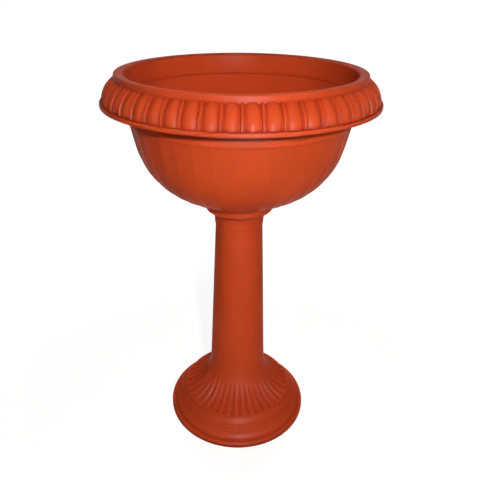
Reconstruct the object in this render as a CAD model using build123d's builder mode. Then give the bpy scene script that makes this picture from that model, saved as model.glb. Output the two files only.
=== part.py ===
"""Pedestal planter for a tulsi plant: a round bowl with a rolled, gadrooned rim, on a
turned column with a fluted, flaring foot. All pieces are moulded plastic shells.

The bowl drops over the spigot of the capital and lifts off. The capital is a sleeve
pushed over the neck of the pedestal and screwed down. A plug closes the bowl's drain
hole, and pulled out it lets the water run down inside the hollow column.

Millimetres, +Z up, origin on the floor at the centre of the foot, -Y is the front.
"""

import os
from math import acos, asin, atan2, cos, degrees, radians, sin, sqrt, tan

from build123d import *

# ---------------------------------------------------------------- shared sizes
wall = 3.0  # thickness of every moulded shell
sleeve_clearance = 0.1  # capital's sleeve round the pedestal's neck, per side
spigot_clearance = 0.4  # bowl's foot ring round the capital's spigot, per side
shoulder_gap = 0.3  # between the sleeve's lower edge and the column's shoulder
screw_clearance = 0.1  # round a screw's shank, per side
plug_clearance = 0.3  # round the drain plug's stem, per side
drain_radius = 12.0  # drain opening through the capital's and the pedestal's webs
root_depth = 0.6  # how far an applied form is rooted in the wall under it
hidden_flats = 8  # flats along a hidden inner curve

# ---------------------------------------------------------------- pedestal
base_radius = 119.0
base_band_height = 4.5  # upright band that stands on the floor
bead_width = 5.0  # rounded bead above that band
bead_height = 5.0
quirk_width = 1.6  # flat at the foot of the torus
torus_width = 8.9
torus_height = 11.5
torus_bulge = 1.7  # how far the torus stands out from its chord
riser_lean = 1.2  # small riser above the torus
riser_height = 3.0
tread_width = 2.7
tread_rise = 1.5
fillet_lean = 0.8  # upright fillet under the cove
fillet_height = 3.0
cove_width = 5.3  # hollow moulding under the edge of the flare
cove_height = 5.5
cove_hollow = 1.0
flare_edge_lean = 2.5
flare_edge_height = 7.0
flare_curve = 70.0  # radius of the flare's hollow curve
column_foot_radius = 46.1
column_top_radius = 36.1
column_length = 254.0  # from the end of the flare's curve to the shoulder
neck_radius = 35.0
neck_length = 19.0
flute_count = 40
flute_phase = 3.1  # degrees from +X to the first flute
flute_width = 7.4  # at the outer end of a flute
flute_bed = 3.2  # flat at the bottom of a flute
flute_depth = 1.5  # at the outer end of a flute
flute_start = 53.0  # distance from the axis where the flutes run out
flute_end = 87.5  # distance from the axis of the flutes' round outer ends

# ---------------------------------------------------------------- capital
annulet_height = 18.6  # tapered ring round the neck, at the lower end of the sleeve
annulet_radius = 38.4
annulet_taper = 1.4
ovolo_bulge = 0.8  # of the flare between that ring and the plate
plate_radius = 51.0
plate_thickness = 5.0
plate_edge = 0.8  # thickness left at the plate's rim
spigot_height = 5.0

# ---------------------------------------------------------------- bowl
foot_ring_height = 8.2
floor_height = 7.2  # underside of the bowl's floor above the seat
underside_slope = 27.4  # degrees above the horizontal
turn_radius = 92.35  # where the straight underside runs into the bowl's curve
bowl_curve = 106.0
side_slope = 77.9  # degrees above the horizontal, where that curve ends
panel_top = 136.2  # upper end of the panels above the seat
panel_count = 40
panel_phase = 0.1  # degrees from +X to the middle of the first panel
panel_depth = 0.5  # at the middle of a panel
panel_start = 56.0  # distance from the axis of the panels' lower end
arris_width = 0.5  # degrees of round wall left between two panels
band_step = 1.0  # how far the plain band stands out from the panels
band_draft = 2.8  # degrees
bowl_height = 198.7  # lip's outer corner above the seat, before its rounding
rim_wall = 2.8
ledge_depth = 31.0  # ledge inside the bowl, below the rim
ledge_width = 2.0
lip_width = 13.2
lip_fall = 1.8  # slope of the lip's top, inwards
lip_round = 3.0  # outer edge of the lip
lip_bevel = 1.0  # inner edge of the lip
collar_height = 7.8  # upright face of the lip above the gadroons
skirt_curve = 30.2  # radius of the gadroons' crests, seen in section
skirt_angle = 24.2  # degrees from the vertical, where that curve leaves the collar
hem_radius = 190.0
hem_width = 6.5
hem_height = 5.2
hem_drop = 5.7  # hem's lower edge below the centre of the skirt's curve
hem_bevel = 1.5
gadroon_count = 50
gadroon_phase = 6.5  # degrees from +X to the middle of the first gadroon
gadroon_width = 17.6
gadroon_height = 2.6  # crests above the ground of the skirt
gadroon_facets = 3  # flats across the round of a gadroon
arch_tilt = 45.0  # degrees above the horizontal in which the arched tops are true
rib_width = 3.1  # at the root of the rib between two gadroons
rib_top_width = 1.7
rib_height = 1.6
rib_end = 57.0  # degrees above the horizontal where a rib ends
form_foot = 1.0  # how far gadroons and ribs run down below the centre of their curve

# ---------------------------------------------------------------- small pieces
drain_hole_radius = 11.0
plug_reach = 1.0  # stem below the bowl's floor
plug_wall = 2.0
plug_flange_width = 5.0
plug_flange_thickness = 2.5
plug_grip_radius = 4.0
plug_grip_height = 7.0
plug_grip_bevel = 1.5
screw_count = 3
screw_phase = 30.0  # degrees from +X to the first screw
screw_circle = 24.0  # distance of the screws from the axis
screw_radius = 2.0
screw_length = 16.0
screw_head_radius = 3.8
screw_head_height = 2.4
screw_head_bevel = 1.2
boss_radius = 4.6
boss_depth = 12.0  # screw bosses below the pedestal's web

# ---------------------------------------------------------------- levels and places
bead_top = base_band_height + bead_height
torus_top = bead_top + torus_height
riser_top = torus_top + riser_height
tread_top = riser_top + tread_rise
fillet_top = tread_top + fillet_height
cove_top = fillet_top + cove_height
flare_foot_z = cove_top + flare_edge_height
bead_inner = base_radius - bead_width
quirk_inner = bead_inner - quirk_width
torus_inner = quirk_inner - torus_width
riser_inner = torus_inner - riser_lean
tread_inner = riser_inner - tread_width
fillet_inner = tread_inner - fillet_lean
cove_inner = fillet_inner - cove_width
flare_foot_r = cove_inner - flare_edge_lean
flare_centre_r = column_foot_radius + flare_curve
flare_centre_z = flare_foot_z + sqrt(flare_curve**2 - (flare_centre_r - flare_foot_r) ** 2)
shoulder_z = flare_centre_z + column_length
neck_top = shoulder_z + neck_length
web_top = neck_top + wall
sleeve_bottom = shoulder_z + shoulder_gap
annulet_top = sleeve_bottom + annulet_height
seat_z = web_top + plate_thickness
ring_inner = plate_radius - wall
spigot_radius = ring_inner - spigot_clearance
floor_under = seat_z + floor_height
floor_top = floor_under + wall
rim_z = seat_z + bowl_height
panel_top_z = seat_z + panel_top
ledge_z = rim_z - ledge_depth
bowl_centre_r = turn_radius - bowl_curve * sin(radians(underside_slope))
turn_z = (
    seat_z + foot_ring_height + (turn_radius - plate_radius) * tan(radians(underside_slope))
)
bowl_centre_z = turn_z + bowl_curve * cos(radians(underside_slope))
lip_radius = (
    bowl_centre_r
    + bowl_curve * sin(radians(side_slope))
    + (panel_top_z - bowl_centre_z + bowl_curve * cos(radians(side_slope)))
    / tan(radians(side_slope))
    + band_step
    + (rim_z - panel_top_z) * tan(radians(band_draft))
    - rim_wall
    + lip_width
)
skirt_centre_r = lip_radius - skirt_curve * sin(radians(skirt_angle))
skirt_centre_z = rim_z - collar_height - skirt_curve * cos(radians(skirt_angle))
ground_radius = skirt_curve - gadroon_height
hem_bottom = skirt_centre_z - hem_drop
hem_top = hem_bottom + hem_height
skirt_axis = Axis((skirt_centre_r, 0, skirt_centre_z), (0, -1, 0))


def bowl_point(slope, inset=0.0):
    """Point of the bowl's curve where it rises at a slope, inset by a thickness."""
    radius = bowl_curve - inset
    return Vector(
        bowl_centre_r + radius * sin(radians(slope)),
        bowl_centre_z - radius * cos(radians(slope)),
    )


def along_slope(start, slope, height=None, distance_out=None):
    """Point on the straight wall through start, at a height or a distance out."""
    rise = tan(radians(slope))
    if height is None:
        return Vector(distance_out, start.Y + (distance_out - start.X) * rise)
    return Vector(start.X + (height - start.Y) / rise, height)


def band_radius(height):
    """Outside of the plain band and the rim's wall at a height."""
    foot = along_slope(bowl_point(side_slope), side_slope, height=panel_top_z)
    return foot.X + band_step + (height - panel_top_z) * tan(radians(band_draft))


def skirt_point(radius, angle):
    """Point of an arc of the skirt, at an angle from the vertical."""
    return Vector(
        skirt_centre_r + radius * sin(radians(angle)),
        skirt_centre_z + radius * cos(radians(angle)),
    )


def flare_point(radius, angle):
    """Point of an arc of the flare, at an angle below its upper end."""
    return Vector(
        flare_centre_r - radius * cos(radians(angle)),
        flare_centre_z - radius * sin(radians(angle)),
    )


def in_flats(arc_point, radius, start, end):
    """Points of a hidden inner arc, which is kept to a few flats."""
    step = (end - start) / hidden_flats
    return [arc_point(radius, start + step * i) for i in range(hidden_flats + 1)]


# ---------------------------------------------------------------- pedestal
flare_turn = degrees(acos((flare_centre_r - flare_foot_r) / flare_curve))
flare_centre = (flare_centre_r, flare_centre_z)
torus_lean = atan2(torus_height, torus_width)


def flare_drop(distance):
    """Sine of the turn round the flare's centre, at a distance from the axis."""
    return sqrt(1 - ((flare_centre_r - distance) / flare_curve) ** 2)


# The flutes' bed is an arc about a lower centre, so it sinks below the flare outwards.
flute_drop = flute_depth / (flare_drop(flute_end) - flare_drop(flute_start))
flute_centre_z = flare_centre_z - flute_drop
flute_curve = flare_curve + flute_depth - flute_drop * flare_drop(flute_end)
flute_turn = 90 - degrees(asin((flare_centre_r - flute_end) / flute_curve))
flute_bed_r = flare_centre_r - flute_curve

with BuildPart() as flute_form:
    with BuildSketch(Plane.XY.offset(flute_centre_z)):
        with BuildLine():
            Polyline(
                (flute_bed_r, -flute_bed / 2),
                (flute_bed_r + flute_depth, -flute_width / 2),
                (flute_bed_r + 2 * flute_depth, -flute_width / 2),
                (flute_bed_r + 2 * flute_depth, flute_width / 2),
                (flute_bed_r + flute_depth, flute_width / 2),
                (flute_bed_r, flute_bed / 2),
                (flute_bed_r, -flute_bed / 2),
            )
        make_face()
    revolve(
        axis=Axis((flare_centre_r, 0, flute_centre_z), (0, -1, 0)),
        revolution_arc=flute_turn,
    )

with BuildPart() as pedestal:
    with BuildSketch(Plane.XZ):
        with BuildLine():
            band = Polyline((0, 0), (base_radius, 0), (base_radius, base_band_height))
            bead = TangentArc(band @ 1, (bead_inner, bead_top), tangent=(0, 1))
            quirk = Line(bead @ 1, (quirk_inner, bead_top))
            torus = SagittaArc(quirk @ 1, (torus_inner, torus_top), -torus_bulge)
            steps = Polyline(
                torus @ 1,
                (riser_inner, riser_top),
                (tread_inner, tread_top),
                (fillet_inner, fillet_top),
            )
            cove = SagittaArc(steps @ 1, (cove_inner, cove_top), cove_hollow)
            Line(cove @ 1, (flare_foot_r, flare_foot_z))
            CenterArc(flare_centre, flare_curve, 180, flare_turn)
            Polyline(
                (column_foot_radius, flare_centre_z),
                (column_top_radius, shoulder_z),
                (neck_radius, shoulder_z),
                (neck_radius, web_top),
                (0, web_top),
                (0, 0),
            )
        make_face()
    revolve()
    with BuildSketch(Plane.XZ):
        with BuildLine():
            Polyline(
                (0, 0),
                (base_radius - wall, 0),
                (base_radius - wall, bead_top - 2 * wall),
                (quirk_inner, bead_top - wall),
                (torus_inner - wall * sin(torus_lean), torus_top - wall * cos(torus_lean)),
                (fillet_inner - cove_hollow - wall, fillet_top - wall),
                *in_flats(flare_point, flare_curve + wall, flare_turn, 0),
                (column_top_radius - wall, shoulder_z - wall),
                (neck_radius - wall, shoulder_z - wall),
                (neck_radius - wall, neck_top),
                (0, neck_top),
                (0, 0),
            )
        make_face()
    revolve(mode=Mode.SUBTRACT)
    with PolarLocations(0, flute_count, start_angle=flute_phase):
        add(flute_form.part, mode=Mode.SUBTRACT)
    with BuildSketch(Plane.XY.offset(web_top - wall)):
        with PolarLocations(screw_circle, screw_count, start_angle=screw_phase):
            Circle(boss_radius)
    extrude(amount=-boss_depth)
    with BuildSketch(Plane.XY.offset(web_top)):
        Circle(drain_radius)
    extrude(amount=-wall, mode=Mode.SUBTRACT)
    with BuildSketch(Plane.XY.offset(web_top)):
        with PolarLocations(screw_circle, screw_count, start_angle=screw_phase):
            Circle(screw_radius + screw_clearance)
    extrude(amount=-(wall + boss_depth), mode=Mode.SUBTRACT)

# ---------------------------------------------------------------- capital
sleeve_inner = neck_radius + sleeve_clearance

with BuildPart() as capital:
    with BuildSketch(Plane.XZ):
        with BuildLine():
            ring = Polyline(
                (sleeve_inner, web_top),
                (sleeve_inner, sleeve_bottom),
                (annulet_radius - annulet_taper, sleeve_bottom),
                (annulet_radius, annulet_top),
            )
            ovolo = SagittaArc(ring @ 1, (plate_radius, seat_z - plate_edge), -ovolo_bulge)
            Polyline(
                ovolo @ 1,
                (plate_radius, seat_z),
                (spigot_radius, seat_z),
                (spigot_radius, seat_z + spigot_height),
                (spigot_radius - wall, seat_z + spigot_height),
                (spigot_radius - wall, seat_z),
                (drain_radius, seat_z),
                (drain_radius, web_top),
                (sleeve_inner, web_top),
            )
        make_face()
    revolve()
    with BuildSketch(Plane.XY.offset(seat_z)):
        with PolarLocations(screw_circle, screw_count, start_angle=screw_phase):
            Circle(screw_radius + screw_clearance)
    extrude(amount=-plate_thickness, mode=Mode.SUBTRACT)

# ---------------------------------------------------------------- capital screws
with BuildPart() as capital_screws:
    with BuildSketch(Plane.XY.offset(seat_z)):
        with PolarLocations(screw_circle, screw_count, start_angle=screw_phase):
            Circle(screw_head_radius)
    extrude(amount=screw_head_height)
    chamfer(capital_screws.edges().group_by(Axis.Z)[-1], screw_head_bevel)
    with BuildSketch(Plane.XY.offset(seat_z)):
        with PolarLocations(screw_circle, screw_count, start_angle=screw_phase):
            Circle(screw_radius)
    extrude(amount=-screw_length)

# ---------------------------------------------------------------- bowl
panel_margin = 2 * wall  # how far the panel cutter reaches outside the bowl
panel_half_angle = radians(180 / panel_count - arris_width / 2)
panel_turn = bowl_point(underside_slope, panel_depth)
panel_side = bowl_point(side_slope, panel_depth)
panel_foot = along_slope(panel_turn, underside_slope, distance_out=panel_start)
panel_head = along_slope(panel_side, side_slope, height=panel_top_z)
panel_reach = panel_head.X + panel_margin

with BuildPart() as panel_form:
    with BuildSketch(Plane.XZ):
        with BuildLine():
            under = Line(panel_foot, panel_turn)
            middle_slope = (underside_slope + side_slope) / 2
            curve = ThreePointArc(
                under @ 1, bowl_point(middle_slope, panel_depth), panel_side
            )
            Polyline(
                curve @ 1,
                panel_head,
                (panel_reach, panel_top_z),
                (panel_reach, panel_foot.Y),
                panel_foot,
            )
        make_face()
    extrude(amount=panel_reach * tan(panel_half_angle), both=True)
    with BuildSketch(Plane.XY.offset(seat_z)):
        with BuildLine():
            spread = panel_reach * tan(panel_half_angle)
            Polyline((0, 0), (panel_reach, -spread), (panel_reach, spread), (0, 0))
        make_face()
    extrude(amount=bowl_height, mode=Mode.INTERSECT)

form_root = skirt_centre_r + ground_radius - root_depth
rib_crest = skirt_centre_r + ground_radius + rib_height
arch_rise = gadroon_width / 2
arch_top = skirt_curve * sin(radians(90 - skirt_angle - arch_tilt))
arch_plane = Plane(
    origin=(skirt_centre_r, 0, skirt_centre_z),
    x_dir=(0, 1, 0),
    z_dir=(cos(radians(arch_tilt)), 0, sin(radians(arch_tilt))),
)

with BuildPart() as gadroon_form:
    with BuildSketch(Plane.XY.offset(skirt_centre_z)) as gadroon_section:
        with BuildLine():
            crest = ThreePointArc(
                (form_root, -gadroon_width / 2),
                (skirt_centre_r + skirt_curve, 0),
                (form_root, gadroon_width / 2),
                mode=Mode.PRIVATE,
            )
            flats = [crest @ (i / gadroon_facets) for i in range(gadroon_facets + 1)]
            Polyline(*flats, flats[0])
        make_face()
    revolve(axis=skirt_axis, revolution_arc=90 - skirt_angle)
    extrude(gadroon_section.sketch, amount=-form_foot)
    with BuildSketch(arch_plane):
        with BuildLine():
            sides = Polyline(
                (-gadroon_width / 2, arch_top - arch_rise),
                (-gadroon_width / 2, -skirt_curve),
                (gadroon_width / 2, -skirt_curve),
                (gadroon_width / 2, arch_top - arch_rise),
            )
            ThreePointArc(sides @ 1, (0, arch_top), sides @ 0)
        make_face()
    extrude(amount=skirt_curve + root_depth, mode=Mode.INTERSECT)

with BuildPart() as rib_form:
    with BuildSketch(Plane.XY.offset(skirt_centre_z)) as rib_section:
        with BuildLine():
            Polyline(
                (form_root, -rib_width / 2),
                (rib_crest, -rib_top_width / 2),
                (rib_crest, rib_top_width / 2),
                (form_root, rib_width / 2),
                (form_root, -rib_width / 2),
            )
        make_face()
    revolve(axis=skirt_axis, revolution_arc=rib_end)
    extrude(rib_section.sketch, amount=-form_foot)

collar_inner = lip_radius - wall
skirt_inner_radius = ground_radius - wall
skirt_inner_angle = degrees(asin((collar_inner - skirt_centre_r) / skirt_inner_radius))
ground_foot_angle = 90 - degrees(asin((hem_top - skirt_centre_z) / ground_radius))
ground_head_angle = degrees(asin((lip_radius - skirt_centre_r) / ground_radius))
inner_turn = bowl_point(underside_slope, wall)
inner_side = bowl_point(side_slope, wall)
floor_edge = inner_turn.X - (inner_turn.Y - floor_top) / tan(radians(underside_slope))

with BuildPart() as bowl:
    with BuildSketch(Plane.XZ) as bowl_section:
        with BuildLine():
            foot = Polyline(
                (drain_hole_radius, floor_under),
                (ring_inner, floor_under),
                (ring_inner, seat_z),
                (plate_radius, seat_z),
                (plate_radius, seat_z + foot_ring_height),
                bowl_point(underside_slope),
            )
            belly = ThreePointArc(
                foot @ 1, bowl_point(middle_slope), bowl_point(side_slope)
            )
            side = Polyline(
                belly @ 1,
                (band_radius(panel_top_z) - band_step, panel_top_z),
                (band_radius(panel_top_z), panel_top_z),
                (band_radius(rim_z - wall), rim_z - wall),
                (collar_inner, rim_z - wall),
                *in_flats(skirt_point, skirt_inner_radius, skirt_inner_angle, 90),
                (hem_radius - hem_width, hem_bottom),
                (hem_radius, hem_bottom),
                (hem_radius, hem_top),
                skirt_point(ground_radius, ground_foot_angle),
            )
            ground = ThreePointArc(
                side @ 1,
                skirt_point(ground_radius, (ground_foot_angle + ground_head_angle) / 2),
                skirt_point(ground_radius, ground_head_angle),
            )
            rim = Polyline(
                ground @ 1,
                (lip_radius, rim_z),
                (lip_radius - lip_width, rim_z - lip_fall),
                (band_radius(ledge_z) - rim_wall, ledge_z),
                (band_radius(ledge_z) - rim_wall - ledge_width, ledge_z),
                along_slope(inner_side, side_slope, height=panel_top_z),
                inner_side,
            )
            inner_curve = ThreePointArc(
                rim @ 1, bowl_point(middle_slope, wall), inner_turn
            )
            Polyline(
                inner_curve @ 1,
                (floor_edge, floor_top),
                (drain_hole_radius, floor_top),
                (drain_hole_radius, floor_under),
            )
        make_face()
        chamfer(bowl_section.vertices().sort_by(Axis.X)[-2:], hem_bevel)
        chamfer(bowl_section.vertices().sort_by(Axis.Y)[-2], lip_bevel)
        fillet(bowl_section.vertices().sort_by(Axis.Y)[-1], lip_round)
    revolve()
    with PolarLocations(0, panel_count, start_angle=panel_phase):
        add(panel_form.part, mode=Mode.SUBTRACT)
    with PolarLocations(0, gadroon_count, start_angle=gadroon_phase):
        add(gadroon_form.part)
    with PolarLocations(
        0, gadroon_count, start_angle=gadroon_phase + 180 / gadroon_count
    ):
        add(rib_form.part)

# ---------------------------------------------------------------- drain plug
stem_radius = drain_hole_radius - plug_clearance
flange_top = floor_top + plug_flange_thickness

with BuildPart() as drain_plug:
    with BuildSketch(Plane.XZ):
        with BuildLine():
            Polyline(
                (0, floor_top),
                (stem_radius - plug_wall, floor_top),
                (stem_radius - plug_wall, floor_under - plug_reach),
                (stem_radius, floor_under - plug_reach),
                (stem_radius, floor_top),
                (drain_hole_radius + plug_flange_width, floor_top),
                (drain_hole_radius + plug_flange_width, flange_top),
                (plug_grip_radius, flange_top),
                (plug_grip_radius, flange_top + plug_grip_height),
                (0, flange_top + plug_grip_height),
                (0, floor_top),
            )
        make_face()
    revolve()
    chamfer(drain_plug.edges().sort_by(Axis.Z)[-1], plug_grip_bevel)

# ---------------------------------------------------------------- files
os.makedirs("parts", exist_ok=True)
pedestal.part.label = "pedestal"
export_step(pedestal.part, "parts/pedestal.step")
capital.part.label = "capital"
export_step(capital.part, "parts/capital.step")
capital_screws.part.label = "capital_screws"
export_step(capital_screws.part, "parts/capital_screws.step")
bowl.part.label = "bowl"
export_step(bowl.part, "parts/bowl.step")
drain_plug.part.label = "drain_plug"
export_step(drain_plug.part, "parts/drain_plug.step")
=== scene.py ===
"""The finished planter: terracotta-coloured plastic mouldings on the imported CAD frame.

Every moulding is a closed skin of rings wound round the Z axis from one section, drawn in
millimetres. -Y is the front and azimuth 0 is +X. The flutes and panels push their rings in
along the section's normal, and the gadroons and ribs raise the arc that their rings lie on.
"""

from math import acos, asin, atan2, cos, hypot, pi, radians, sin, tan

import bpy
import numpy as np
from mathutils import Matrix, Vector


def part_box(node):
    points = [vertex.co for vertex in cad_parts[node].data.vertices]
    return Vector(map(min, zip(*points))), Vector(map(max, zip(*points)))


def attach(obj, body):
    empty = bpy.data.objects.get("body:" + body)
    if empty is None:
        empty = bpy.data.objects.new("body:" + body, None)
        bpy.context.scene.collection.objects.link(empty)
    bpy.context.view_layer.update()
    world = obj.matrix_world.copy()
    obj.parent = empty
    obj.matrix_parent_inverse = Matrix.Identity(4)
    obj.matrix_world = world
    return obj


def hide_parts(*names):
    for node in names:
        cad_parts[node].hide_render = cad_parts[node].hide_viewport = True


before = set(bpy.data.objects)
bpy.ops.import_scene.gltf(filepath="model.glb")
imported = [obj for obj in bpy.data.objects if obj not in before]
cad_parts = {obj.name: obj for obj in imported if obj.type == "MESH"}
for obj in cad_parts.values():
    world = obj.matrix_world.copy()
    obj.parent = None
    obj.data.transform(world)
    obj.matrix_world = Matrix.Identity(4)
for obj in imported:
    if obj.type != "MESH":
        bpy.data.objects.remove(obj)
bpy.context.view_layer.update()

MM = 0.001
FULL_TURN = 2 * pi

# ---------------------------------------------------------------- sizes from the frame, mm
pedestal_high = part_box("pedestal")[1] / MM
capital_low, capital_high = (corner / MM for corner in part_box("capital"))
bowl_low, bowl_high = (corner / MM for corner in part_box("bowl"))
plug_low, plug_high = (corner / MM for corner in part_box("drain_plug"))
screws_low, screws_high = (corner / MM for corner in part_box("capital_screws"))

base_radius = pedestal_high.x
hem_radius = bowl_high.x
web_top = pedestal_high.z
seat_z = bowl_low.z

# ------------------------------------------------- driving sizes, mm (phases in degrees)
wall = 3.0
edge_round = 0.4  # rounding of the mouldings' edges
ring_points = 240  # points in a ring without relief

# the pedestal, from its foot upwards
base_band_height = 4.5
bead_size = 5.0
quirk_width = 1.6
torus_width, torus_height, torus_bulge = 8.9, 11.5, 1.7
riser_lean, riser_height = 1.2, 3.0
tread_width, tread_rise = 2.7, 1.5
fillet_lean, fillet_height = 0.8, 3.0
cove_width, cove_height, cove_hollow = 5.3, 5.5, 1.0
flare_edge_lean, flare_edge_height, flare_edge_hollow = 2.5, 7.0, 1.3
flare_edge_round = 0.8
flare_curve = 70.0
column_foot_radius, column_top_radius = 46.1, 36.1
neck_radius, neck_length = 35.0, 19.0
flute_count = 40
flute_phase = 3.1
flute_width = 8.2  # across the outer end of a flute
flute_depth = 2.3
flute_fullness = 0.9  # 1 hollows a flute as a parabola, less makes it fuller
flute_points = 20  # points of a ring in each flute's pitch
flute_start, flute_end = 47.3, 90.3  # distances from the axis
flute_run_out = 0.35  # of a flute's length, over which its inner end sinks in
flute_end_length = 4.0  # of a flute's rounded outer end

# the capital
plate_radius = 51.0
sleeve_clearance = 0.1
annulet_radius, annulet_taper, annulet_height = 38.4, 1.4, 18.6
ovolo_bulge = 0.8
plate_edge = 0.8
spigot_radius = 47.6
drain_radius = 12.0

# the bowl, from its foot ring up to the rim
foot_ring_height, floor_height = 8.2, 7.2
underside_slope, side_slope = radians(27.4), radians(77.9)
turn_radius = 92.35
bowl_curve = 106.0
panel_top = 136.2
panel_count = 40
panel_phase = 0.1
panel_depth = 1.0
panel_fullness = 2.2  # 2 hollows a panel as a parabola, more makes it flatter
panel_start = 56.0  # distance from the axis
panel_run_out = 8.0  # over which the panels sink in
arris_half_width = 0.15  # degrees
band_step = 1.0
band_draft = radians(2.8)
rim_wall = 2.8
ledge_depth, ledge_width = 31.0, 2.0
bowl_height = 198.7
lip_width, lip_fall, lip_round, lip_inner_round = 13.2, 1.8, 3.7, 2.4
collar_height = 7.8
skirt_curve, skirt_angle = 30.2, radians(24.2)
hem_width, hem_height, hem_drop = 6.5, 5.2, 5.7
hem_round_below, hem_round_above = 0.6, 1.5
gadroon_count = 50
gadroon_phase = 6.9
gadroon_height, gadroon_half_width, gadroon_fullness = 2.6, 8.3, 0.9
rib_height, rib_half_width, rib_fullness = 2.5, 2.2, 0.8
drain_hole_radius = 11.0

# the screws and their bosses
boss_radius, boss_depth = 4.6, 12.0
screw_count = 3
screw_phase = radians(30)
screw_circle = 24.0
screw_radius = 2.0
pilot_radius = 2.1


# ---------------------------------------------------------------- sections
def stop(radius, height, rounding=0.0, zone=None):
    """One stop of a section: a place, how far its corner is rounded, and its relief."""
    return (radius, height, rounding, zone)


def arc(centre, radius, start, end, steps, zone=None):
    """Stops on an arc. Angles run from outwards (0) to upwards (a quarter turn)."""
    return [
        stop(centre[0] + radius * cos(angle), centre[1] + radius * sin(angle), zone=zone)
        for angle in np.linspace(start, end, steps + 1)
    ]


def bowed(start, end, bulge, steps):
    """Stops on a shallow curve that stands out from its chord by the bulge."""
    length = hypot(end[0] - start[0], end[1] - start[1])
    normal = ((end[1] - start[1]) / length, (start[0] - end[0]) / length)
    stops = []
    for share in np.linspace(0, 1, steps + 1):
        out = 4 * bulge * share * (1 - share)
        stops.append(
            stop(
                start[0] + (end[0] - start[0]) * share + normal[0] * out,
                start[1] + (end[1] - start[1]) * share + normal[1] * out,
            )
        )
    return stops


def span(start, end, steps, zone=None):
    """Stops along a straight stretch, without its two ends."""
    return [
        stop(
            start[0] + (end[0] - start[0]) * share,
            start[1] + (end[1] - start[1]) * share,
            zone=zone,
        )
        for share in np.linspace(0, 1, steps + 1)[1:-1]
    ]


def soften(stops, closed, steps=5):
    """The section with each corner rounded: rows of (radius, height, zone).

    A row a little beyond each rounding keeps the shading of long stretches flat.
    """
    guard = 0.25
    guard_room = 2.5  # roundings that must fit in a stretch with such a row
    most_share = 0.48  # of a stretch that one rounding may take
    rows = []
    for index, (radius, height, rounding, zone) in enumerate(stops):
        at_end = not closed and index in (0, len(stops) - 1)
        if rounding == 0 or at_end:
            rows.append((radius, height, zone))
            continue
        place = np.array((radius, height))
        before = np.array(stops[index - 1][:2]) - place
        after = np.array(stops[(index + 1) % len(stops)][:2]) - place
        reach_before, reach_after = np.linalg.norm(before), np.linalg.norm(after)
        reach = min(rounding, most_share * reach_before, most_share * reach_after)
        leave = place + before / reach_before * reach
        meet = place + after / reach_after * reach
        if reach_before > guard_room * reach + guard:
            rows.append((*(leave + before / reach_before * guard), zone))
        for share in np.linspace(0, 1, steps + 1):
            inward = (1 - share) ** 2 * leave + 2 * share * (1 - share) * place
            rows.append((*(inward + share**2 * meet), zone))
        if reach_after > guard_room * reach + guard:
            rows.append((*(meet + after / reach_after * guard), zone))
    return rows


# ---------------------------------------------------------------- skins
def even_azimuths(count):
    """Evenly spaced azimuths of a plain ring."""
    return np.arange(count) * FULL_TURN / count


def repeated_azimuths(shares, count, phase):
    """Azimuths of a ring of repeats, from the shares of one pitch about its middle."""
    pitch = FULL_TURN / count
    azimuths = radians(phase) + pitch * (np.arange(count)[:, None] + shares[None, :])
    return np.sort(azimuths.ravel() % FULL_TURN)


def pitch_share(azimuths, count, phase):
    """Signed distance from the middle of the nearest repeat, as a share of the pitch."""
    return ((azimuths - radians(phase)) * count / FULL_TURN + 0.5) % 1 - 0.5


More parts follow.
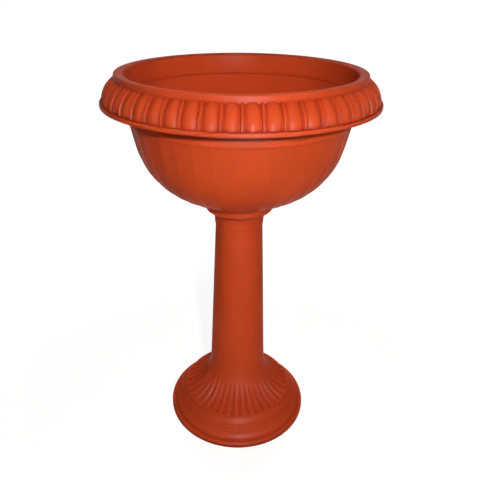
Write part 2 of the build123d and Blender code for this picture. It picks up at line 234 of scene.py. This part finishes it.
class Skin:
    """A closed mesh made of rings of points, each joined to the one before it."""

    def __init__(self):
        self.points = []
        self.faces = []
        self.rings = []
        self.count = 0

    def add_ring(self, azimuths, radii, heights):
        """Adds a ring of points and joins it to the ring before."""
        radii = np.broadcast_to(radii, azimuths.shape)
        heights = np.broadcast_to(heights, azimuths.shape)
        places = np.stack([radii * np.cos(azimuths), radii * np.sin(azimuths), heights], 1)
        self.points.append(places)
        ring = (self.count, azimuths)
        self.count += len(azimuths)
        if self.rings:
            self.join(self.rings[-1], ring)
        self.rings.append(ring)

    def join(self, low, high):
        """Joins two rings with quads, or with triangles where their points differ."""
        low_first, low_azimuths = low
        high_first, high_azimuths = high
        low_count, high_count = len(low_azimuths), len(high_azimuths)
        if low_count == high_count and np.array_equal(low_azimuths, high_azimuths):
            here = np.arange(low_count)
            following = (here + 1) % low_count
            self.faces += np.stack(
                [
                    low_first + here,
                    low_first + following,
                    high_first + following,
                    high_first + here,
                ],
                1,
            ).tolist()
            return
        at_low = low_count if low_count == 1 else 0
        at_high = high_count if high_count == 1 else 0
        while at_low < low_count or at_high < high_count:
            if at_high >= high_count:
                step_low = True
            elif at_low >= low_count:
                step_low = False
            else:
                next_low = low_azimuths[at_low + 1] if at_low + 1 < low_count else FULL_TURN
                next_high = (
                    high_azimuths[at_high + 1] if at_high + 1 < high_count else FULL_TURN
                )
                step_low = next_low <= next_high
            low_here = low_first + at_low % low_count
            high_here = high_first + at_high % high_count
            if step_low:
                at_low += 1
                self.faces.append([low_here, low_first + at_low % low_count, high_here])
            else:
                at_high += 1
                self.faces.append([low_here, high_first + at_high % high_count, high_here])

    def wind(self, rows, shapes, closed=True):
        """Adds a ring for each row of a section, shaped by the row's zone."""
        places = np.array([row[:2] for row in rows])
        travel = np.roll(places, -1, 0) - np.roll(places, 1, 0)
        normals = np.stack([travel[:, 1], -travel[:, 0]], 1)
        normals /= np.maximum(np.linalg.norm(normals, axis=1), 1e-9)[:, None]
        plain = even_azimuths(ring_points)
        for place, normal, row in zip(places, normals, rows):
            if place[0] < 1e-6:
                self.add_ring(np.zeros(1), 0.0, place[1])
            elif row[2] is None:
                self.add_ring(plain, place[0], place[1])
            else:
                azimuths, shape = shapes[row[2]]
                self.add_ring(azimuths, *shape(place, normal, azimuths))
        if closed:
            self.join(self.rings[-1], self.rings[0])

    def object(self, name, sharp_above=radians(60)):
        """The skin as a Blender object, in metres."""
        mesh = bpy.data.meshes.new(name)
        mesh.from_pydata((np.concatenate(self.points) * MM).tolist(), [], self.faces)
        mesh.validate()
        mesh.shade_smooth()
        mesh.set_sharp_from_angle(angle=sharp_above)
        piece = bpy.data.objects.new(name, mesh)
        bpy.context.scene.collection.objects.link(piece)
        return piece


def pushed(relief):
    """A shape that pushes a ring along the section's normal by a relief."""

    def shape(place, normal, azimuths):
        push = relief(place, azimuths)
        return place[0] + normal[0] * push, place[1] + normal[1] * push

    return shape


def smooth(value):
    """A soft step from 0 to 1."""
    value = np.clip(value, 0, 1)
    return value * value * (3 - 2 * value)


def lobe_reach(across, half_width, beyond, end_length):
    """How far out a point lies in a lobe with a rounded end: 1 on the lobe's edge."""
    return np.sqrt((across / half_width) ** 2 + (np.maximum(beyond, 0) / end_length) ** 2)


# ---------------------------------------------------------------- pedestal
shoulder_z = web_top - wall - neck_length
bead_top = base_band_height + bead_size
quirk_inner = base_radius - bead_size - quirk_width
torus_inner, torus_top = quirk_inner - torus_width, bead_top + torus_height
riser_inner, riser_top = torus_inner - riser_lean, torus_top + riser_height
tread_inner, tread_top = riser_inner - tread_width, riser_top + tread_rise
fillet_inner, fillet_top = tread_inner - fillet_lean, tread_top + fillet_height
cove_inner, cove_top = fillet_inner - cove_width, fillet_top + cove_height
flare_foot_r, flare_foot_z = cove_inner - flare_edge_lean, cove_top + flare_edge_height
flare_centre_r = column_foot_radius + flare_curve
flare_turn = acos((flare_centre_r - flare_foot_r) / flare_curve)
flare_centre = (flare_centre_r, flare_foot_z + flare_curve * sin(flare_turn))


def flute_relief(place, azimuths):
    """Depth of the flutes in the flare, at one distance from the axis."""
    radius = place[0]
    share = pitch_share(azimuths, flute_count, flute_phase)
    across = share * FULL_TURN / flute_count * flute_end
    beyond = radius - (flute_end - flute_end_length)
    reach = lobe_reach(across, flute_width / 2, beyond, flute_end_length)
    hollow = np.clip(1 - reach**2, 0, 1) ** flute_fullness
    run_out = flute_run_out * (flute_end - flute_start)
    depth = flute_depth * smooth((radius - flute_start) / run_out)
    return -depth * hollow


def pedestal_section():
    """Stops of the pedestal's section: up the outside, then down the inside."""
    shoulder = (column_top_radius, shoulder_z)
    column_foot = (column_foot_radius, flare_centre[1])
    core_curve = flare_curve + wall
    inner_neck = neck_radius - wall
    inner_shoulder = (column_top_radius - wall, shoulder_z - wall)
    inner_foot = (column_foot_radius - wall, flare_centre[1])
    flare_end_angle = pi + flare_turn
    fillet, cove = (fillet_inner, fillet_top), (cove_inner, cove_top)
    flare_foot = (flare_foot_r, flare_foot_z)
    torus_slope = atan2(torus_height, torus_width)
    return [
        stop(base_radius - wall, 0, edge_round),
        stop(base_radius, 0, edge_round),
        *arc((base_radius - bead_size, base_band_height), bead_size, 0, pi / 2, steps=8),
        stop(quirk_inner, bead_top, edge_round),
        *bowed((quirk_inner, bead_top), (torus_inner, torus_top), torus_bulge, steps=10)[1:-1],
        stop(torus_inner, torus_top, edge_round),
        stop(riser_inner, riser_top, edge_round),
        stop(tread_inner, tread_top, edge_round),
        stop(*fillet, edge_round),
        *bowed(fillet, cove, -cove_hollow, steps=6)[1:-1],
        stop(*cove, edge_round),
        *bowed(cove, flare_foot, -flare_edge_hollow, steps=8)[1:-1],
        stop(*flare_foot, flare_edge_round, "flutes"),
        *arc(flare_centre, flare_curve, flare_end_angle, pi, steps=46, zone="flutes")[1:],
        *span(column_foot, shoulder, steps=20),
        stop(*shoulder, edge_round),
        stop(neck_radius, shoulder_z, edge_round),
        stop(neck_radius, web_top, edge_round),
        stop(drain_radius, web_top, edge_round),
        stop(drain_radius, web_top - wall, edge_round),
        stop(inner_neck, web_top - wall, edge_round),
        stop(inner_neck, inner_shoulder[1], edge_round),
        stop(*inner_shoulder, edge_round),
        *span(inner_shoulder, inner_foot, steps=16),
        *arc(flare_centre, core_curve, pi, flare_end_angle, steps=16),
        stop(fillet_inner - cove_hollow - wall, fillet_top - wall, edge_round),
        stop(
            torus_inner - wall * sin(torus_slope),
            torus_top - wall * cos(torus_slope),
            edge_round,
        ),
        stop(quirk_inner, bead_top - wall, edge_round),
        stop(base_radius - wall, bead_top - 2 * wall, edge_round),
    ]


def drill(piece, cutters, operation):
    """Cuts the cutters out of a piece, or joins them to it."""
    for cutter in cutters:
        change = piece.modifiers.new("drill", "BOOLEAN")
        change.operation = operation
        change.object = cutter
        change.solver = "EXACT"
        with bpy.context.temp_override(object=piece, active_object=piece):
            bpy.ops.object.modifier_apply(modifier=change.name)
        bpy.data.objects.remove(cutter)


def screw_rods(radius, low, high):
    """Plain rods on the screws' axes, to cut or add."""
    axis = np.zeros(1)
    rod_points = 40
    ring = even_azimuths(rod_points)
    rods = []
    for index in range(screw_count):
        angle = screw_phase + index * FULL_TURN / screw_count
        skin = Skin()
        skin.add_ring(axis, 0.0, low)
        skin.add_ring(ring, radius, low)
        skin.add_ring(ring, radius, high)
        skin.add_ring(axis, 0.0, high)
        rod = skin.object("rod")
        place = Vector((cos(angle), sin(angle), 0)) * screw_circle * MM
        rod.data.transform(Matrix.Translation(place))
        rods.append(rod)
    return rods


def make_pedestal():
    """Column and fluted foot, with the screw bosses under the neck's web."""
    shares = (np.arange(flute_points) + 0.5) / flute_points - 0.5
    azimuths = repeated_azimuths(shares, flute_count, flute_phase)
    skin = Skin()
    shapes = {"flutes": (azimuths, pushed(flute_relief))}
    skin.wind(soften(pedestal_section(), closed=True), shapes)
    piece = skin.object("pedestal_shell")
    root = 0.5  # how far the bosses reach into the web, and the pilot holes past it
    boss_top = web_top - wall + root
    drill(piece, screw_rods(boss_radius, web_top - wall - boss_depth, boss_top), "UNION")
    pilot_low = web_top - wall - boss_depth - root
    drill(piece, screw_rods(pilot_radius, pilot_low, web_top + root), "DIFFERENCE")
    return piece


# ---------------------------------------------------------------- capital
def make_capital():
    """Sleeve, ovolo and plate, with the spigot that the bowl drops over."""
    sleeve_inner = neck_radius + sleeve_clearance
    sleeve_bottom = capital_low.z
    annulet_top = sleeve_bottom + annulet_height
    spigot_inner = spigot_radius - wall
    plate_corner = (plate_radius, seat_z - plate_edge)
    stops = [
        stop(sleeve_inner, sleeve_bottom, edge_round),
        stop(annulet_radius - annulet_taper, sleeve_bottom, edge_round),
        stop(annulet_radius, annulet_top, edge_round),
        *bowed((annulet_radius, annulet_top), plate_corner, ovolo_bulge, steps=10)[1:-1],
        stop(*plate_corner, edge_round),
        stop(plate_radius, seat_z, edge_round),
        stop(spigot_radius, seat_z, edge_round),
        stop(spigot_radius, capital_high.z, edge_round),
        stop(spigot_inner, capital_high.z, edge_round),
        stop(spigot_inner, seat_z, edge_round),
        stop(drain_radius, seat_z, edge_round),
        stop(drain_radius, web_top, edge_round),
        stop(sleeve_inner, web_top, edge_round),
    ]
    skin = Skin()
    skin.wind(soften(stops, closed=True), {})
    piece = skin.object("capital_shell")
    margin = 0.5  # how far the pilot holes' cutters stand past the plate
    drill(piece, screw_rods(pilot_radius, web_top - margin, seat_z + margin), "DIFFERENCE")
    return piece


# ---------------------------------------------------------------- bowl
rim_z = seat_z + bowl_height
panel_top_z = seat_z + panel_top
ledge_z = rim_z - ledge_depth
bowl_centre_r = turn_radius - bowl_curve * sin(underside_slope)
turn_z = seat_z + foot_ring_height + (turn_radius - plate_radius) * tan(underside_slope)
bowl_centre = (bowl_centre_r, turn_z + bowl_curve * cos(underside_slope))
side_foot = (
    bowl_centre[0] + bowl_curve * sin(side_slope),
    bowl_centre[1] - bowl_curve * cos(side_slope),
)
panel_head = (
    side_foot[0] + (panel_top_z - side_foot[1]) / tan(side_slope),
    panel_top_z,
)


def band_radius(height):
    """Outside of the plain band and the rim's wall at a height."""
    return panel_head[0] + band_step + (height - panel_top_z) * tan(band_draft)


lip_radius = band_radius(rim_z) - rim_wall + lip_width
skirt_centre = (
    lip_radius - skirt_curve * sin(skirt_angle),
    rim_z - collar_height - skirt_curve * cos(skirt_angle),
)
ground_curve = skirt_curve - gadroon_height
hem_bottom = skirt_centre[1] - hem_drop
hem_top = hem_bottom + hem_height
ground_foot = asin((hem_top - skirt_centre[1]) / ground_curve)
ground_head = acos((lip_radius - skirt_centre[0]) / ground_curve)
hem_pitch = FULL_TURN / gadroon_count * hem_radius


def gadroon_rise(azimuths):
    """How far the gadroons and the ribs between them stand out from their ground."""
    share = np.abs(pitch_share(azimuths, gadroon_count, gadroon_phase))
    lobe = np.clip(share * hem_pitch / gadroon_half_width, 0, 1)
    rib = np.clip((0.5 - share) * hem_pitch / rib_half_width, 0, 1)
    lobes = gadroon_height * (1 - lobe**2) ** gadroon_fullness
    ribs = rib_height * (1 - rib**4) ** rib_fullness
    return np.maximum(lobes, ribs)


def gadroon_shape(place, normal, azimuths):
    """A ring of the gadroons, which run up into the collar and end on it in arches."""
    curve = ground_curve + gadroon_rise(azimuths)
    angle = atan2(place[1] - skirt_centre[1], place[0] - skirt_centre[0])
    share = (angle - ground_foot) / (ground_head - ground_foot)
    heads = np.arccos((lip_radius - skirt_centre[0]) / curve)
    angles = ground_foot + share * (heads - ground_foot)
    return skirt_centre[0] + curve * np.cos(angles), skirt_centre[1] + curve * np.sin(angles)


def plain_shape(place, normal, azimuths):
    """A ring without relief, with the points of the relief below it."""
    return place[0], place[1]


def panel_relief(place, azimuths):
    """Depth of the hollow panels below the arrises between them."""
    share = np.abs(2 * pitch_share(azimuths, panel_count, panel_phase))
    fade = smooth((place[0] - panel_start) / panel_run_out)
    return -panel_depth * fade * (1 - share**panel_fullness)


def bowl_section():
    """Stops of the bowl's section: up the outside, over the rim, down the inside."""
    collar_inner = lip_radius - wall
    lining_curve = ground_curve - wall
    lining_head = pi / 2 - asin((collar_inner - skirt_centre[0]) / lining_curve)
    ledge_r = band_radius(ledge_z) - rim_wall
    inner_head = (panel_head[0] - wall / sin(side_slope), panel_top_z)
    inner_side = (
        bowl_centre[0] + (bowl_curve - wall) * sin(side_slope),
        bowl_centre[1] - (bowl_curve - wall) * cos(side_slope),
    )
    inner_turn = (
        bowl_centre[0] + (bowl_curve - wall) * sin(underside_slope),
        bowl_centre[1] - (bowl_curve - wall) * cos(underside_slope),
    )
    floor_under = seat_z + floor_height
    floor_top = floor_under + wall
    floor_edge = inner_turn[0] - (inner_turn[1] - floor_top) / tan(underside_slope)
    ring_inner = plate_radius - wall
    ring_top = (plate_radius, seat_z + foot_ring_height)
    turn = (turn_radius, turn_z)
    lip_inner = (lip_radius - lip_width, rim_z - lip_fall)
    under, side = underside_slope - pi / 2, side_slope - pi / 2
    band_foot = (band_radius(panel_top_z), panel_top_z)
    band_head = (band_radius(rim_z), rim_z)
    return [
        stop(drain_hole_radius, floor_under, edge_round),
        stop(ring_inner, floor_under, edge_round),
        stop(ring_inner, seat_z, edge_round),
        stop(plate_radius, seat_z, edge_round),
        stop(*ring_top, edge_round, "panels"),
        *span(ring_top, turn, steps=12, zone="panels"),
        *arc(bowl_centre, bowl_curve, under, side, steps=26, zone="panels"),
        *span(side_foot, panel_head, steps=8, zone="panels"),
        stop(*panel_head, edge_round, "panels"),
        stop(*band_foot, edge_round),
        *span(band_foot, band_head, steps=8)[:-1],
        stop(band_radius(rim_z - wall), rim_z - wall, edge_round),
        stop(collar_inner, rim_z - wall, edge_round),
        *arc(skirt_centre, lining_curve, lining_head, 0, steps=12),
        stop(hem_radius - hem_width, hem_bottom, edge_round),
        stop(hem_radius, hem_bottom, hem_round_below),
        stop(hem_radius, hem_top, hem_round_above),
        *arc(skirt_centre, ground_curve, ground_foot, ground_head, steps=28, zone="gadroons"),
        stop(lip_radius, rim_z - collar_height + edge_round, zone="collar"),
        stop(lip_radius, rim_z, lip_round),
        stop(*lip_inner, lip_inner_round),
        *span(lip_inner, (ledge_r, ledge_z), steps=4),
        stop(ledge_r, ledge_z, edge_round),
        stop(ledge_r - ledge_width, ledge_z, edge_round),
        stop(*inner_head, edge_round),
        *span(inner_head, inner_side, steps=6),
        *arc(bowl_centre, bowl_curve - wall, side, under, steps=26),
        stop(floor_edge, floor_top, edge_round),
        *span((floor_edge, floor_top), (drain_hole_radius, floor_top), steps=5),
        stop(drain_hole_radius, floor_top, edge_round),
    ]


def make_bowl():
    """Bowl, plain band and the rolled rim with its gadroons, one moulding.

    A pitch of the gadroons has its points closer together towards a lobe's edge and on the
    rib, and a pitch of the panels has one close by on each side of an arris.
    """
    lobe_points, rib_points, panel_points = 9, 11, 15
    edge = gadroon_half_width / hem_pitch
    lobe_half = edge * np.sin(np.linspace(0, pi / 2, lobe_points))
    half = np.concatenate([lobe_half, np.linspace(edge, 0.5, rib_points)[1:]])
    gadroon_shares = np.concatenate([-half[1:-1][::-1], half])
    inner = np.linspace(-0.5, 0.5, panel_points)[1:-1]
    arris = arris_half_width * panel_count / 360
    panel_shares = np.concatenate([[-0.5, -0.5 + arris], inner, [0.5 - arris]])
    gadroon_azimuths = repeated_azimuths(gadroon_shares, gadroon_count, gadroon_phase)
    panel_azimuths = repeated_azimuths(panel_shares, panel_count, panel_phase)
    shapes = {
        "panels": (panel_azimuths, pushed(panel_relief)),
        "gadroons": (gadroon_azimuths, gadroon_shape),
        "collar": (gadroon_azimuths, plain_shape),
    }
    skin = Skin()
    skin.wind(soften(bowl_section(), closed=True), shapes)
    return skin.object("bowl_shell")


# ---------------------------------------------------------------- drain plug
def make_plug():
    """Push-in drain plug with a finger grip."""
    stem_radius, plug_wall, stem_round = 10.7, 2.0, 0.8
    flange_radius, flange_thickness, flange_round = plug_high.x, 2.5, 0.9
    grip_radius, grip_round = 4.0, 1.5
    waist_radius, waist_drop, waist_round = 3.5, 3.0, 0.6
    floor_top = seat_z + floor_height + wall
    flange_top = floor_top + flange_thickness
    stops = [
        stop(0, floor_top),
        stop(stem_radius - plug_wall, floor_top, edge_round),
        stop(stem_radius - plug_wall, plug_low.z, edge_round),
        stop(stem_radius, plug_low.z, stem_round),
        stop(stem_radius, floor_top, edge_round),
        stop(flange_radius, floor_top, edge_round),
        stop(flange_radius, flange_top, flange_round),
        stop(grip_radius, flange_top, flange_round),
        stop(waist_radius, plug_high.z - waist_drop, waist_round),
        stop(grip_radius, plug_high.z, grip_round),
        stop(0, plug_high.z),
    ]
    skin = Skin()
    skin.wind(soften(stops, closed=False), {}, closed=False)
    return skin.object("plug_moulding")


# ---------------------------------------------------------------- screws
def make_screw():
    """One self-tapping screw with a domed head and a cross recess."""
    head_radius, head_height = 3.8, screws_high.z - seat_z
    edge_share = 0.2  # of the head's height, below the dome
    dome_start, dome_rings = 0.2, 7  # the dome's first angle in radians
    core_radius, thread_pitch, rings_per_pitch = 1.6, 1.3, 8
    thread_height = screw_radius - core_radius
    point_length = 3.0
    recess_depth, recess_length, recess_width = 1.3, 4.0, 0.9
    sharp_above = radians(40)
    tip = screws_low.z
    axis = np.zeros(1)
    screw_points = 24
    ring = even_azimuths(screw_points)
    skin = Skin()
    skin.add_ring(axis, 0.0, tip)
    thread_rings = int((seat_z - tip) / thread_pitch * rings_per_pitch)
    for height in np.linspace(tip, seat_z, thread_rings)[1:-1]:
        phase = (height - tip) / thread_pitch + ring / FULL_TURN
        crest = np.abs((phase % 1) * 2 - 1) ** 2
        point = min(1.0, (height - tip) / point_length)
        skin.add_ring(ring, (core_radius + thread_height * crest) * point, height)
    skin.add_ring(ring, screw_radius, seat_z)
    skin.add_ring(ring, head_radius, seat_z)
    skin.add_ring(ring, head_radius, seat_z + edge_share * head_height)
    for angle in np.linspace(dome_start, pi / 2, dome_rings)[:-1]:
        height = seat_z + head_height * (edge_share + (1 - edge_share) * sin(angle))
        skin.add_ring(ring, head_radius * cos(angle), height)
    skin.add_ring(axis, 0.0, seat_z + head_height)
    screw = skin.object("screw", sharp_above)
    cutters = []
    for length, width in ((recess_length, recess_width), (recess_width, recess_length)):
        bpy.ops.mesh.primitive_cube_add(size=1)
        cutter = bpy.context.object
        size = Vector((length, width, 2 * recess_depth)) * MM
        place = Vector((0, 0, seat_z + head_height)) * MM
        cutter.data.transform(Matrix.Translation(place) @ Matrix.Diagonal((*size, 1)))
        cutters.append(cutter)
    drill(screw, cutters, "DIFFERENCE")
    return screw


def make_screws():
    """The three screws of the capital, as one piece."""
    recess_turn = 0.7  # radians from one screw's cross recess to the next one's
    first = make_screw()
    screws = [first]
    for _ in range(screw_count - 1):
        screw = first.copy()
        screw.data = first.data.copy()
        bpy.context.scene.collection.objects.link(screw)
        screws.append(screw)
    for index, screw in enumerate(screws):
        angle = screw_phase + index * FULL_TURN / screw_count
        place = Vector((cos(angle), sin(angle), 0)) * screw_circle * MM
        turned = Matrix.Rotation(recess_turn * index, 4, "Z")
        screw.data.transform(Matrix.Translation(place) @ turned)
    with bpy.context.temp_override(
        object=first, active_object=first, selected_editable_objects=screws
    ):
        bpy.ops.object.join()
    first.name = "cross_head_screws"
    return first


# ---------------------------------------------------------------- materials
def new_material(name):
    """A material with an empty node tree."""
    material = bpy.data.materials.new(name)
    material.use_nodes = True
    material.node_tree.nodes.clear()
    return material


class Graph:
    """Short calls for the node tree of a material or a world."""

    def __init__(self, owner):
        self.owner = owner
        self.tree = owner.node_tree

    def node(self, kind, inputs=None, **settings):
        """A node with its settings and its inputs, which are values or sockets."""
        made = self.tree.nodes.new(kind)
        for key, value in settings.items():
            setattr(made, key, value)
        for key, value in (inputs or {}).items():
            if isinstance(value, bpy.types.NodeSocket):
                self.tree.links.new(value, made.inputs[key])
            else:
                made.inputs[key].default_value = value
        return made

    def noise(self, place, scale, detail=3.0, roughness=0.5):
        """A noise texture's value at a place."""
        inputs = {"Vector": place, "Scale": scale, "Detail": detail, "Roughness": roughness}
        return self.node("ShaderNodeTexNoise", inputs).outputs["Fac"]

    def remap(self, value, low, high, to_low, to_high):
        """A value moved from one range to another, and kept in it."""
        inputs = {0: value, 1: low, 2: high, 3: to_low, 4: to_high}
        return self.node("ShaderNodeMapRange", inputs).outputs[0]

    def mix(self, share, first, second):
        """Two colours mixed by a share."""
        inputs = {0: share, 6: first, 7: second}
        return self.node("ShaderNodeMix", inputs, data_type="RGBA").outputs[2]


def plastic(name, colour, mottle_and_shade, worn, roughness):
    """Satin moulded plastic: mottled, with painted shade darkening its hollows and creases, and
    paler on its edges.
    """
    cloud_scale, speck_scale, swell_scale, grain_scale = 22.0, 420.0, 30.0, 900.0
    cloud_share, speck_share, corner_shade_share, edge_share = 0.15, 0.10, 0.7, 0.2
    painted_shade_reach = 0.02  # metres that a wall may be away and still paint shade into a hollow
    gloss_level = 0.008
    graph = Graph(new_material(name))
    place = graph.node("ShaderNodeTexCoord").outputs["Object"]
    point = graph.node("ShaderNodeNewGeometry").outputs["Pointiness"]
    # Painted shade: ambient occlusion darkens hollows where other walls stand near, towards the
    # dark colour.
    shade_occlusion = graph.node("ShaderNodeAmbientOcclusion", {"Distance": painted_shade_reach}, samples=8)
    painted_hollow_shade = graph.remap(shade_occlusion.outputs["AO"], 0.98, 0.50, 0.0, 1.0)
    clouds = graph.remap(graph.noise(place, cloud_scale, 4.0), 0.35, 0.65, 0.0, 1.0)
    specks = graph.remap(graph.noise(place, speck_scale, 2.0), 0.3, 0.7, 0.0, 1.0)
    base = graph.mix(graph.remap(clouds, 0.0, 1.0, 0.0, cloud_share), colour, mottle_and_shade)
    base = graph.mix(graph.remap(specks, 0.0, 1.0, 0.0, speck_share), base, worn)
    base = graph.mix(painted_hollow_shade, base, mottle_and_shade)
    # Painted shade: concave creases, found by low pointiness, are darkened towards the dark
    # colour.
    base = graph.mix(graph.remap(point, 0.49, 0.43, 0.0, corner_shade_share), base, mottle_and_shade)
    base = graph.mix(graph.remap(point, 0.53, 0.62, 0.0, edge_share), base, worn)
    gloss = graph.remap(clouds, 0.0, 1.0, roughness - 0.04, roughness + 0.05)
    grain = graph.noise(place, grain_scale, 2.0)
    swell = graph.noise(place, swell_scale, 2.0)
    fine = graph.node(
        "ShaderNodeBump", {"Height": grain, "Strength": 0.12, "Distance": 0.0002}
    )
    soft = graph.node(
        "ShaderNodeBump",
        {"Height": swell, "Strength": 0.10, "Distance": 0.002, "Normal": fine.outputs[0]},
    )
    shader = graph.node(
        "ShaderNodeBsdfPrincipled",
        {"Base Color": base, "Roughness": gloss, "Normal": soft.outputs[0]},
    )
    shader.inputs["Specular IOR Level"].default_value = gloss_level
    graph.node("ShaderNodeOutputMaterial", {"Surface": shader.outputs[0]})
    return graph.owner


def zinc(name):
    """Zinc-plated steel, cloudy and finely pitted."""
    cloud_scale, pit_scale = 700.0, 3000.0
    blue_grey, warm_grey = (0.52, 0.53, 0.55, 1), (0.68, 0.67, 0.62, 1)
    graph = Graph(new_material(name))
    place = graph.node("ShaderNodeTexCoord").outputs["Object"]
    clouds = graph.noise(place, cloud_scale, 4.0)
    base = graph.mix(clouds, blue_grey, warm_grey)
    gloss = graph.remap(clouds, 0.3, 0.7, 0.28, 0.42)
    bump = graph.node(
        "ShaderNodeBump",
        {"Height": graph.noise(place, pit_scale), "Strength": 0.15, "Distance": 0.0001},
    )
    shader = graph.node(
        "ShaderNodeBsdfPrincipled",
        {"Base Color": base, "Roughness": gloss, "Normal": bump.outputs[0]},
    )
    shader.inputs["Metallic"].default_value = 1.0
    graph.node("ShaderNodeOutputMaterial", {"Surface": shader.outputs[0]})
    return graph.owner


# ---------------------------------------------------------------- stage, lights, camera
def white_to_camera(graph):
    """1 for rays that see the background itself, in mirrors and glass too, 0 for others."""
    path = graph.node("ShaderNodeLightPath").outputs
    either = graph.node(
        "ShaderNodeMath",
        {0: path["Is Camera Ray"], 1: path["Is Glossy Ray"]},
        operation="MAXIMUM",
    ).outputs[0]
    return graph.node(
        "ShaderNodeMath",
        {0: either, 1: path["Is Transmission Ray"]},
        operation="MAXIMUM",
    ).outputs[0]


def floor_material():
    """Pale floor that looks white but keeps the object's shadow.

    Seen rays get a glow that whitens away from the object, over a grey that takes the
    shadow. The other rays get a plain pale floor, which bounces light onto the object.
    """
    near, far = 0.35, 1.2  # metres from the object's axis
    near_glow, far_glow = 0.84, 1.0
    shadow_colour, bounce_colour = (0.30, 0.30, 0.30, 1), (0.80, 0.79, 0.78, 1)
    graph = Graph(new_material("pale_floor"))
    seen = white_to_camera(graph)
    place = graph.node("ShaderNodeTexCoord").outputs["Object"]
    distance = graph.node("ShaderNodeVectorMath", {0: place}, operation="LENGTH").outputs["Value"]
    white = graph.remap(distance, near, far, near_glow, far_glow)
    shadow = graph.node("ShaderNodeBsdfDiffuse", {"Color": shadow_colour})
    glow = graph.node("ShaderNodeEmission", {"Color": (1, 1, 1, 1), "Strength": white})
    both = graph.node("ShaderNodeAddShader", {0: shadow.outputs[0], 1: glow.outputs[0]})
    bounce = graph.node("ShaderNodeBsdfDiffuse", {"Color": bounce_colour})
    mixed = graph.node(
        "ShaderNodeMixShader", {0: seen, 1: bounce.outputs[0], 2: both.outputs[0]}
    )
    graph.node("ShaderNodeOutputMaterial", {"Surface": mixed.outputs[0]})
    return graph.owner


def make_floor():
    """A wide pale floor under the planter."""
    half = 6.0
    mesh = bpy.data.meshes.new("floor")
    corners = [(-half, -half, 0), (half, -half, 0), (half, half, 0), (-half, half, 0)]
    mesh.from_pydata(corners, [], [(0, 1, 2, 3)])
    mesh.materials.append(floor_material())
    floor = bpy.data.objects.new("floor", mesh)
    bpy.context.scene.collection.objects.link(floor)


def make_world(ambient):
    """Soft ambient light, and plain white behind the object."""
    world = bpy.data.worlds.new("studio")
    world.use_nodes = True
    world.node_tree.nodes.clear()
    graph = Graph(world)
    lit = graph.node("ShaderNodeBackground", {"Color": (1, 1, 1, 1), "Strength": ambient})
    white = graph.node("ShaderNodeBackground", {"Color": (1, 1, 1, 1), "Strength": 1.0})
    seen = white_to_camera(graph)
    mixed = graph.node("ShaderNodeMixShader", {0: seen, 1: lit.outputs[0], 2: white.outputs[0]})
    graph.node("ShaderNodeOutputWorld", {"Surface": mixed.outputs[0]})
    bpy.context.scene.world = world


def softbox(name, place, size, power, shine=False):
    """A square area light that looks at the bowl.

    Gloss alone sees a lamp with shine, which makes the highlights, and the matt colour alone
    sees the others.
    """
    bowl_middle = Vector((0, 0, 0.45))
    lamp = bpy.data.lights.new(name, "AREA")
    lamp.size = size
    lamp.energy = power
    box = bpy.data.objects.new(name, lamp)
    box.location = place
    aim = bowl_middle - Vector(place)
    box.rotation_euler = aim.to_track_quat("-Z", "Y").to_euler()
    box.visible_diffuse = not shine
    box.visible_glossy = shine
    bpy.context.scene.collection.objects.link(box)


def make_camera():
    """The camera at the photograph's height, distance and slight tilt."""
    place = (-0.0109, -0.7117, 0.6948)
    pitch, roll = radians(62.688), radians(0.33)
    data = bpy.data.cameras.new("camera")
    data.lens = 38.145
    data.sensor_width = 36.0
    data.shift_x = 0.0167
    camera = bpy.data.objects.new("camera", data)
    turned = Matrix.Rotation(pitch, 4, "X") @ Matrix.Rotation(roll, 4, "Z")
    camera.matrix_world = Matrix.Translation(place) @ turned
    bpy.context.scene.collection.objects.link(camera)
    bpy.context.scene.camera = camera


# ---------------------------------------------------------------- the planter
# The darker colour of each plastic serves both its random mottling and the painted shade in
# hollows and creases.
terracotta = plastic(
    "terracotta_plastic",
    colour=(0.62, 0.066, 0.016, 1),
    mottle_and_shade=(0.36, 0.026, 0.006, 1),
    worn=(0.72, 0.13, 0.05, 1),
    roughness=0.38,
)
plug_plastic = plastic(
    "plug_plastic",
    colour=(0.30, 0.05, 0.02, 1),
    mottle_and_shade=(0.20, 0.03, 0.01, 1),
    worn=(0.4, 0.1, 0.05, 1),
    roughness=0.5,
)

pieces = [
    (make_pedestal(), "pedestal", "stand", "pedestal_plastic", terracotta),
    (make_capital(), "capital", "stand", "capital_plastic", terracotta),
    (make_screws(), "capital_screws", "stand", "screw_steel", zinc("zinc_plating")),
    (make_bowl(), "bowl", "pot", "bowl_plastic", terracotta),
    (make_plug(), "drain_plug", "plug", "plug_plastic", plug_plastic),
]
for piece, node, body, material_slot, material in pieces:
    piece.data.materials.clear()
    piece.data.materials.append(material)
    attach(piece, body)
    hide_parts(node)

make_floor()
make_world(ambient=0.03)

# places and sizes in metres, powers in watts
softbox("key", (0.11, -0.9, 0.83), size=0.04, power=7.6)
softbox("top_front", (0, -0.9, 1.6), size=0.5, power=1.2)
softbox("back_left", (-0.4, 1.5, 0.85), size=0.5, power=6.5)
softbox("back_right", (0.4, 1.5, 0.85), size=0.5, power=6.5)
softbox("shine", (0.13, -1.3, 0.55), size=0.3, power=330.0, shine=True)

make_camera()
bpy.context.scene.view_settings.view_transform = "Standard"

bpy.context.view_layer.update()
